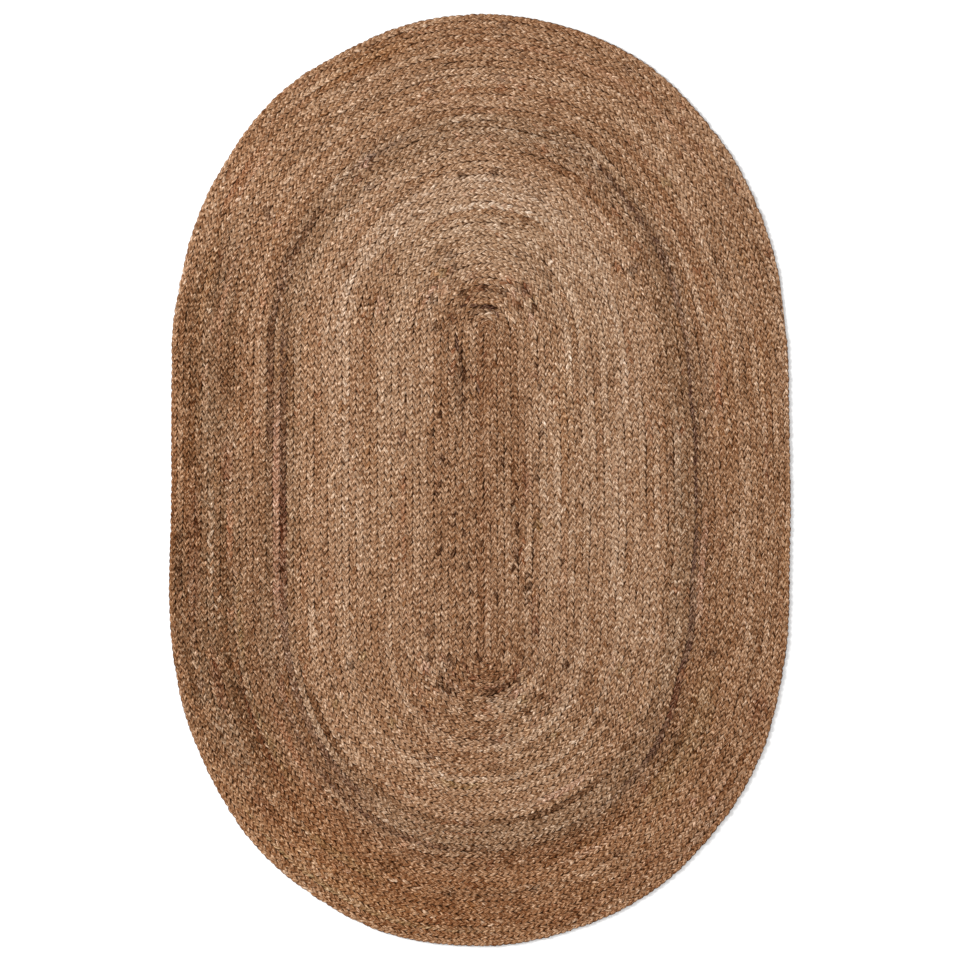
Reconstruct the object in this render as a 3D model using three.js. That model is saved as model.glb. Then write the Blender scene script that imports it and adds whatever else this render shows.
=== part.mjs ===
// Oval jute rug: one long three-strand braid of jute, coiled outward from a
// straight centre and sewn round to round. It lies flat, its long way along Y.
// Millimetres, +Z up. The origin is the middle of the underside.

import * as THREE from "three";

// Size of the whole rug
const RUG_WIDTH = 1220;
const RUG_LENGTH = 1835;
const THICKNESS = 8;

// The coil: how many rounds, how deep the sewn joins lie below the braid's
// crest, and by what share the middle rounds are wider than the average one
const ROUNDS = 46;
const JOIN_DEPTH = 2.6;
const MIDDLE_SLACK = 0.03;

// The rounded edge: its widest level, and how far in the underside begins
const EDGE_LEVEL = 4;
const EDGE_TUCK = 3;

// The first straight length of braid, which lies a little off the middle
const CORE = { x: 10, farEnd: 297, nearEnd: -350 };

// The last length of braid thins out and is sewn in: shares of a round at
// which it starts to thin and at which it is gone
const TAIL = { start: 0.145, end: 0.205 };

// How unevenly the rug lies, clockwise from the middle of the far end.
// at: share of the way round; inset: how far the edge lies inside a true
// oval; sway: how far the rounds two thirds of the way out are pushed outward
const LAY = [
  { at: 0.0, inset: 0.5, sway: 0 },
  { at: 0.06, inset: 2.5, sway: 0 },
  { at: 0.11, inset: 15, sway: -10 },
  { at: 0.145, inset: 18, sway: -16 },
  { at: 0.175, inset: 14.5, sway: -12 },
  { at: 0.21, inset: 3, sway: 3 },
  { at: 0.265, inset: -1, sway: 11 },
  { at: 0.295, inset: 1.5, sway: 8 },
  { at: 0.335, inset: 12.5, sway: -2 },
  { at: 0.36, inset: 10, sway: 0 },
  { at: 0.39, inset: 10, sway: 3 },
  { at: 0.43, inset: 4, sway: 6 },
  { at: 0.455, inset: 4, sway: 6 },
  { at: 0.5, inset: 0, sway: 4 },
  { at: 0.535, inset: -3, sway: 4 },
  { at: 0.58, inset: 3, sway: 0 },
  { at: 0.64, inset: 11, sway: -5 },
  { at: 0.665, inset: 8, sway: -7 },
  { at: 0.705, inset: -2.5, sway: -6 },
  { at: 0.75, inset: 1.5, sway: -2 },
  { at: 0.8, inset: 2, sway: -3 },
  { at: 0.835, inset: 15, sway: -8 },
  { at: 0.875, inset: 15.5, sway: -8 },
  { at: 0.92, inset: 8.5, sway: -4 },
  { at: 0.94, inset: 10.5, sway: -2 },
  { at: 0.985, inset: 2, sway: 0 },
  { at: 1.0, inset: 0.5, sway: 0 },
];

// Steps of the mesh along each round end and each straight side. It has a
// row of points on every crest of the braid and one in every join.
const END_STEPS = 26;
const SIDE_STEPS = 4;
const ROWS_PER_ROUND = 2;

// Rows this close to the centre line or to the edge, in rounds, end on it
const LEAST_START = 0.08;
const LEAST_FINISH = 0.1;

// Places on a true oval of the rug's size
const END_RADIUS = RUG_WIDTH / 2;
const HALF_SIDE = (RUG_LENGTH - RUG_WIDTH) / 2;
const SIDE_LENGTH = 2 * HALF_SIDE;
const END_LENGTH = Math.PI * END_RADIUS;
const ROUND_LENGTH = 2 * (SIDE_LENGTH + END_LENGTH);

const { lerp, smoothstep } = THREE.MathUtils;

// One station of a round: share of the way round, outward direction, and
// how far along the centre line it belongs, from 1 at the far end to -1
function endStation(share, angle, along) {
  return { share, outward: new THREE.Vector2(Math.sin(angle), Math.cos(angle)), along };
}

// Stations of one round, clockwise from the middle of the far end
function roundStations() {
  const stations = [];
  const halfEnd = END_LENGTH / 2;
  const quarterSteps = END_STEPS / 2;
  for (let step = 0; step < quarterSteps; step += 1) {
    const part = step / quarterSteps;
    stations.push(endStation((part * halfEnd) / ROUND_LENGTH, (part * Math.PI) / 2, 1));
  }
  for (let step = 0; step < SIDE_STEPS; step += 1) {
    const part = step / SIDE_STEPS;
    const share = (halfEnd + part * SIDE_LENGTH) / ROUND_LENGTH;
    stations.push(endStation(share, Math.PI / 2, 1 - 2 * part));
  }
  for (let step = 0; step < END_STEPS; step += 1) {
    const part = step / END_STEPS;
    const share = (halfEnd + SIDE_LENGTH + part * END_LENGTH) / ROUND_LENGTH;
    stations.push(endStation(share, Math.PI / 2 + part * Math.PI, -1));
  }
  for (let step = 0; step < SIDE_STEPS; step += 1) {
    const part = step / SIDE_STEPS;
    const share = (halfEnd + SIDE_LENGTH + END_LENGTH + part * SIDE_LENGTH) / ROUND_LENGTH;
    stations.push(endStation(share, 1.5 * Math.PI, -1 + 2 * part));
  }
  for (let step = 0; step < quarterSteps; step += 1) {
    const part = step / quarterSteps;
    const share = (ROUND_LENGTH - (1 - part) * halfEnd) / ROUND_LENGTH;
    stations.push(endStation(share, (1.5 + part / 2) * Math.PI, 1));
  }
  return stations;
}

// A column of the lay table at any share of the way round
function layAt(share, column) {
  const next = LAY.findIndex((row) => row.at > share);
  const before = LAY[next - 1];
  const after = LAY[next];
  return lerp(before[column], after[column], smoothstep(share, before.at, after.at));
}

// Rounds from the centre line to the edge, fewer by one past the tail
function roundsToEdge(share) {
  return ROUNDS + 0.5 + share - smoothstep(share, TAIL.start, TAIL.end);
}

// Share of the way from the centre line to the edge at a count of rounds
function reachAt(share, rounds) {
  const even = rounds / roundsToEdge(share);
  return even * (1 + MIDDLE_SLACK * (1 - even));
}

// Plan of a point: straight from the core to the uneven edge, with the sway
// at its fullest two thirds of the way out
function planAt(station, reach) {
  const core = new THREE.Vector2(
    CORE.x,
    lerp(CORE.nearEnd, CORE.farEnd, (1 + station.along) / 2),
  );
  const edge = new THREE.Vector2(0, station.along * HALF_SIDE);
  edge.addScaledVector(station.outward, END_RADIUS - layAt(station.share, "inset"));
  const bell = 6.75 * reach * reach * (1 - reach);
  const point = core.lerp(edge, reach);
  return point.addScaledVector(station.outward, bell * layAt(station.share, "sway"));
}

// Height of the top face, from 0 at the bottom of a join to 1 on a crest
function topHeight(crestShare) {
  return THICKNESS - JOIN_DEPTH * (1 - crestShare);
}

// The rug as one closed body
function rugGeometry() {
  const stations = roundStations();
  const columns = stations.length;
  const positions = [];
  const indices = [];
  const known = new Map();

  const vertex = (key, place) => {
    if (!known.has(key)) {
      known.set(key, positions.length / 3);
      positions.push(...place());
    }
    return known.get(key);
  };

  // The centre line starts on the braid's crest and ends in its first join
  const centreVertex = (station) =>
    vertex(`centre ${station.along.toFixed(3)}`, () => {
      const plan = planAt(station, 0);
      return [plan.x, plan.y, topHeight((1 + station.along) / 2)];
    });

  const edgeVertex = (column) =>
    vertex(`edge ${column}`, () => {
      const plan = planAt(stations[column], 1);
      return [plan.x, plan.y, EDGE_LEVEL];
    });

  const undersideVertex = (column) =>
    vertex(`underside ${column}`, () => {
      const station = stations[column];
      const plan = planAt(station, 1).addScaledVector(station.outward, -EDGE_TUCK);
      return [plan.x, plan.y, 0];
    });

  // A row keeps its crest or join all along the coil, so past the last
  // column it goes on as the row one round further out
  const topVertex = (column, row) => {
    if (column === columns) {
      return topVertex(0, row + ROWS_PER_ROUND);
    }
    const station = stations[column];
    const rounds = station.share + row / ROWS_PER_ROUND;
    if (rounds < LEAST_START) {
      return centreVertex(station);
    }
    if (rounds > roundsToEdge(station.share) - LEAST_FINISH) {
      return edgeVertex(column);
    }
    return vertex(`top ${column} ${row}`, () => {
      const plan = planAt(station, reachAt(station.share, rounds));
      return [plan.x, plan.y, topHeight(row % ROWS_PER_ROUND === 0 ? 1 : 0)];
    });
  };

  const triangle = (a, b, c) => {
    if (a !== b && b !== c && c !== a) {
      indices.push(a, b, c);
    }
  };

  const quad = (a, b, c, d) => {
    triangle(a, b, c);
    triangle(a, c, d);
  };

  const middle = vertex("middle", () => [0, 0, 0]);
  for (let column = 0; column < columns; column += 1) {
    const after = (column + 1) % columns;
    for (let row = -ROWS_PER_ROUND; row <= ROWS_PER_ROUND * (ROUNDS + 1); row += 1) {
      quad(
        topVertex(column, row),
        topVertex(column + 1, row),
        topVertex(column + 1, row + 1),
        topVertex(column, row + 1),
      );
    }
    quad(edgeVertex(column), edgeVertex(after), undersideVertex(after), undersideVertex(column));
    triangle(middle, undersideVertex(column), undersideVertex(after));
  }

  const geometry = new THREE.BufferGeometry();
  geometry.setAttribute("position", new THREE.Float32BufferAttribute(positions, 3));
  geometry.setIndex(indices);
  geometry.center();
  geometry.translate(0, 0, THICKNESS / 2);
  geometry.computeVertexNormals();
  return geometry;
}

const jute = new THREE.MeshStandardMaterial({
  color: 0xa17a55,
  roughness: 0.95,
  metalness: 0,
});

const rug = new THREE.Group();
const braidCoil = new THREE.Mesh(rugGeometry(), jute);
braidCoil.name = "jute_braid_coil";
rug.add(braidCoil);

export default rug;
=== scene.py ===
"""Oval jute rug: one three-strand jute braid, coiled into an oval and sewn round to round.

Lengths are in metres. The rug lies on the floor with its long way along Y.
Places on the coil are given by share, the part of the way round, clockwise
from the middle of the far end; by turn, whole rounds from the coil's start
plus the share; and by reach, from 0 on the centre line to 1 at the edge.
"""

import logging
import math
from dataclasses import dataclass, field
from enum import Enum

import bmesh
import bpy
import numpy as np
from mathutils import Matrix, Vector


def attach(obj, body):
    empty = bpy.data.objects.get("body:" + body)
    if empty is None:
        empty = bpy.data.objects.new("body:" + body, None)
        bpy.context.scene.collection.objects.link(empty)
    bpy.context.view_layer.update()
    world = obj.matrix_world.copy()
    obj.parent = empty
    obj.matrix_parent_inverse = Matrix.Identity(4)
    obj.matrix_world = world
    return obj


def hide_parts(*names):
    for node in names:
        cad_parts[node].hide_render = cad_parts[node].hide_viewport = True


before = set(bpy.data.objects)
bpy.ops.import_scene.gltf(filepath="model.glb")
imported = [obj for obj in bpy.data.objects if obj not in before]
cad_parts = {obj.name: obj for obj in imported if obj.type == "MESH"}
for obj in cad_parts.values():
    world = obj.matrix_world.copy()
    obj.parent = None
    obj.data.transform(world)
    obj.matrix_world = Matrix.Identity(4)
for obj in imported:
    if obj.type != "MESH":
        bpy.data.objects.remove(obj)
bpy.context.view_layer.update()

log = logging.getLogger("jute_rug")

BODY = "root"
COIL_NODE = "jute_braid_coil"
FULL_TURN = 2.0 * math.pi
STRANDS = 3
FRAME_WIDTH = 1.89216
FRAME_PIXELS = 960
PIXEL_SIZE = FRAME_WIDTH / FRAME_PIXELS
MIDDLE_PIXEL = FRAME_PIXELS / 2
BELL_GAIN = 27 / 4
OUTLINE_STEPS = 720
FADE_OUT = 1.5


@dataclass(frozen=True)
class LayRow:
    """How the coil lies at one place on its way round.

    inset is how far the edge lies inside a true oval, and sway how far the
    rounds two thirds of the way out are pushed outward.
    """

    at: float
    inset: float
    sway: float


LAY_ROWS = (
    LayRow(0.0, 0.0005, 0.0),
    LayRow(0.06, 0.0025, 0.0),
    LayRow(0.11, 0.015, -0.009),
    LayRow(0.145, 0.018, -0.008),
    LayRow(0.175, 0.0145, -0.006),
    LayRow(0.21, 0.003, 0.007),
    LayRow(0.235, 0.0013, 0.017),
    LayRow(0.265, -0.001, 0.018),
    LayRow(0.295, 0.0015, 0.009),
    LayRow(0.335, 0.0125, -0.005),
    LayRow(0.36, 0.010, -0.004),
    LayRow(0.39, 0.010, -0.002),
    LayRow(0.43, 0.004, -0.001),
    LayRow(0.455, 0.004, -0.002),
    LayRow(0.5, 0.0, -0.005),
    LayRow(0.535, -0.003, -0.001),
    LayRow(0.58, 0.003, -0.002),
    LayRow(0.64, 0.011, 0.0),
    LayRow(0.665, 0.008, 0.001),
    LayRow(0.705, -0.0025, 0.006),
    LayRow(0.75, 0.0015, 0.010),
    LayRow(0.8, 0.002, 0.008),
    LayRow(0.835, 0.015, 0.007),
    LayRow(0.875, 0.0155, 0.004),
    LayRow(0.92, 0.0085, -0.001),
    LayRow(0.94, 0.0105, -0.002),
    LayRow(0.985, 0.002, 0.0),
    LayRow(1.0, 0.0005, 0.0),
)


def smooth_step(x: np.ndarray) -> np.ndarray:
    """Eases x from 0 to 1 with level ends, and holds it outside them."""
    x = np.clip(x, 0.0, 1.0)
    return x * x * (3.0 - 2.0 * x)


@dataclass(frozen=True)
class CoilLay:
    """Plan of the coil: where each round of the braid runs on the floor."""

    width: float = 1.22
    length: float = 1.835
    rounds: int = 46
    middle_slack: float = 0.03
    core_x: float = 0.010
    core_far: float = 0.297
    core_near: float = -0.350
    tail_start: float = 0.145
    tail_end: float = 0.205
    start_turn: float = 0.16
    rows: tuple[LayRow, ...] = LAY_ROWS

    @property
    def end_radius(self) -> float:
        """Radius of the rug's round ends."""
        return self.width / 2

    @property
    def half_side(self) -> float:
        """Half the length of its straight sides."""
        return (self.length - self.width) / 2

    @property
    def pitch(self) -> float:
        """Usual width of one round of braid."""
        return self.width / (2 * self.rounds)

    @property
    def end_turn(self) -> float:
        """Turn of the coil at which the braid's tail is gone."""
        return self.rounds + self.tail_end

    def eased(self, share: np.ndarray, column: str) -> np.ndarray:
        """A column of the lay rows at shares of the way round.

        Args:
            share: shares of the way round, from 0 to 1.
            column: inset or sway.

        Returns:
            The column's values, eased from row to row.
        """
        at = np.array([row.at for row in self.rows])
        values = np.array([getattr(row, column) for row in self.rows])
        after = np.clip(np.searchsorted(at, share, side="right"), 1, len(at) - 1)
        part = smooth_step((share - at[after - 1]) / (at[after] - at[after - 1]))
        return values[after - 1] + part * (values[after] - values[after - 1])

    def edge_rounds(self, share: np.ndarray) -> np.ndarray:
        """Rounds from the centre line to the edge, one fewer past the tail."""
        thinning = (share - self.tail_start) / (self.tail_end - self.tail_start)
        return self.rounds + 0.5 + share - smooth_step(thinning)

    def reach(self, turn: np.ndarray, shift: float | np.ndarray = 0.0) -> np.ndarray:
        """Reach of the braid at turns of the coil, shifted outward by some rounds."""
        edge_rounds = self.edge_rounds(np.mod(turn, 1.0))
        even = np.minimum(turn + shift, edge_rounds) / edge_rounds
        return even * (1.0 + self.middle_slack * (1.0 - even))

    def heading(self, share: np.ndarray) -> tuple[np.ndarray, np.ndarray]:
        """Outward direction and place along the centre line.

        Args:
            share: shares of the way round, from 0 to 1.

        Returns:
            Unit vectors (n, 2), and places from 1 at the far end to -1.
        """
        side = 2 * self.half_side
        end = math.pi * self.end_radius
        run = share * 2 * (side + end)
        angle = np.select(
            [run < end / 2, run < end / 2 + side, run < end * 1.5 + side, run < end * 1.5 + 2 * side],
            [
                run / self.end_radius,
                np.full_like(run, math.pi / 2),
                math.pi / 2 + (run - end / 2 - side) / self.end_radius,
                np.full_like(run, math.pi * 1.5),
            ],
            math.pi * 1.5 + (run - end * 1.5 - 2 * side) / self.end_radius,
        )
        down = np.clip((run - end / 2) / side, 0.0, 1.0)
        up = np.clip((run - end * 1.5 - side) / side, 0.0, 1.0)
        outward = np.stack([np.sin(angle), np.cos(angle)], axis=-1)
        return outward, 1.0 - 2.0 * down + 2.0 * up

    def plan(self, turn: np.ndarray, shift: float = 0.0) -> np.ndarray:
        """Points of the coil in plan.

        Args:
            turn: turns along the coil from its start.
            shift: rounds outward of the braid's own middle.

        Returns:
            Points (n, 2) before the rug is centred.
        """
        return self.point(np.mod(turn, 1.0), self.reach(turn, shift))

    def point(self, share: np.ndarray, reach: np.ndarray) -> np.ndarray:
        """Points in plan, before the rug is centred.

        Args:
            share: shares of the way round, from 0 to 1.
            reach: reach at each of them.

        Returns:
            Points (n, 2), swayed by a bell that is full two thirds of the way out.
        """
        reach = reach[:, None]
        outward, along = self.heading(share)
        core_mid = (self.core_far + self.core_near) / 2
        core_half = (self.core_far - self.core_near) / 2
        core = np.stack([np.full_like(along, self.core_x), core_mid + along * core_half], axis=-1)
        edge = np.stack([np.zeros_like(along), along * self.half_side], axis=-1)
        edge += outward * (self.end_radius - self.eased(share, "inset"))[:, None]
        bell = BELL_GAIN * reach * reach * (1.0 - reach)
        sway = self.eased(share, "sway")[:, None]
        return core + (edge - core) * reach + outward * bell * sway

    def outline(self, count: int) -> np.ndarray:
        """Points (count, 2) of the rug's edge, before it is centred."""
        share = np.arange(count) / count
        return self.plan(share + self.rounds + 1.0)

    def centring(self) -> np.ndarray:
        """Shift that puts the middle of the rug's box at the origin."""
        edge = self.outline(OUTLINE_STEPS)
        return -(edge.min(axis=0) + edge.max(axis=0)) / 2


class Tone(Enum):
    """Shades of retted jute, as seen colours from 0 to 255. EARTH also colours the plate under the strands
    as painted shade.
    """

    STRAW = (165, 133, 106)
    SAND = (158, 125, 97)
    FAWN = (154, 118, 89)
    TAN = (148, 111, 82)
    HAZEL = (139, 103, 75)
    RUSSET = (131, 93, 65)
    TAUPE = (132, 104, 83)
    UMBER = (106, 71, 45)
    WALNUT = (70, 42, 24)
    DRAB = (139, 106, 79)
    BARK = (108, 84, 62)
    PLUM = (86, 58, 45)
    CREAM = (206, 174, 144)
    AMBER = (154, 110, 72)
    RUST = (146, 96, 66)
    CLAY = (168, 126, 98)
    ROSE = (176, 134, 112)
    OLIVE = (134, 106, 68)
    MAHOGANY = (110, 66, 43)
    OCHRE = (140, 99, 68)
    EARTH = (72, 44, 20)

    @property
    def linear(self) -> np.ndarray:
        """The tone as linear light."""
        seen = np.array(self.value) / 255.0
        return np.where(seen <= 0.04045, seen / 12.92, ((seen + 0.055) / 1.055) ** 2.4)


@dataclass(frozen=True)
class ZoneRow:
    """Ground tones at one reach, paler on one side of the rug than on the other.

    pale is the tone at the share of the way round given by pale_share, and
    deep the tone opposite.
    """

    reach: float
    pale: Tone
    deep: Tone
    pale_share: float


ZONE_ROWS = (
    ZoneRow(0.00, Tone.RUSSET, Tone.RUSSET, 0.02),
    ZoneRow(0.05, Tone.HAZEL, Tone.HAZEL, 0.02),
    ZoneRow(0.15, Tone.FAWN, Tone.HAZEL, 0.02),
    ZoneRow(0.25, Tone.SAND, Tone.TAN, 0.02),
    ZoneRow(0.35, Tone.SAND, Tone.TAN, 0.00),
    ZoneRow(0.45, Tone.STRAW, Tone.FAWN, 0.00),
    ZoneRow(0.56, Tone.FAWN, Tone.TAN, 0.02),
    ZoneRow(0.60, Tone.DRAB, Tone.DRAB, 0.03),
    ZoneRow(0.67, Tone.DRAB, Tone.DRAB, 0.00),
    ZoneRow(0.71, Tone.TAN, Tone.RUSSET, 0.00),
    ZoneRow(0.77, Tone.FAWN, Tone.OCHRE, 0.03),
    ZoneRow(0.88, Tone.FAWN, Tone.OCHRE, 0.08),
    ZoneRow(1.00, Tone.TAN, Tone.OCHRE, 0.11),
)


@dataclass(frozen=True)
class Lot:
    """A length of the braid made of other yarn, from one turn to another."""

    first: float
    last: float
    tone: Tone
    strength: float
    fade: float = 0.03

    def inside(self, turn: np.ndarray) -> np.ndarray:
        """How far turns lie inside the lot: 0 outside it, 1 well inside."""
        return smooth_step(np.minimum(turn - self.first, self.last - turn) / self.fade + 0.5)


LOTS = (
    Lot(2.90, 3.07, Tone.WALNUT, 0.45),
    Lot(26.37, 26.49, Tone.UMBER, 0.55),
    Lot(26.51, 26.66, Tone.UMBER, 0.35),
    Lot(28.58, 28.81, Tone.PLUM, 0.65),
    Lot(29.70, 29.78, Tone.ROSE, 0.45),
    Lot(30.13, 30.41, Tone.UMBER, 0.35),
    Lot(30.41, 30.50, Tone.UMBER, 0.50),
    Lot(30.50, 30.68, Tone.UMBER, 0.45),
    Lot(30.70, 30.87, Tone.UMBER, 0.40),
)


@dataclass(frozen=True)
class Patch:
    """A place on the rug where the yarn has another tone.

    along is half its length in shares of the way round, and across half its
    breadth in reach.
    """

    share: float
    reach: float
    along: float
    across: float
    tone: Tone
    strength: float

    def inside(self, share: np.ndarray, reach: np.ndarray) -> np.ndarray:
        """How far places lie inside the patch: 0 past its faded rim, 1 in its middle."""
        round_off = (np.mod(share - self.share + 0.5, 1.0) - 0.5) / self.along
        return smooth_step(FADE_OUT - np.hypot(round_off, (reach - self.reach) / self.across))


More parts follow.
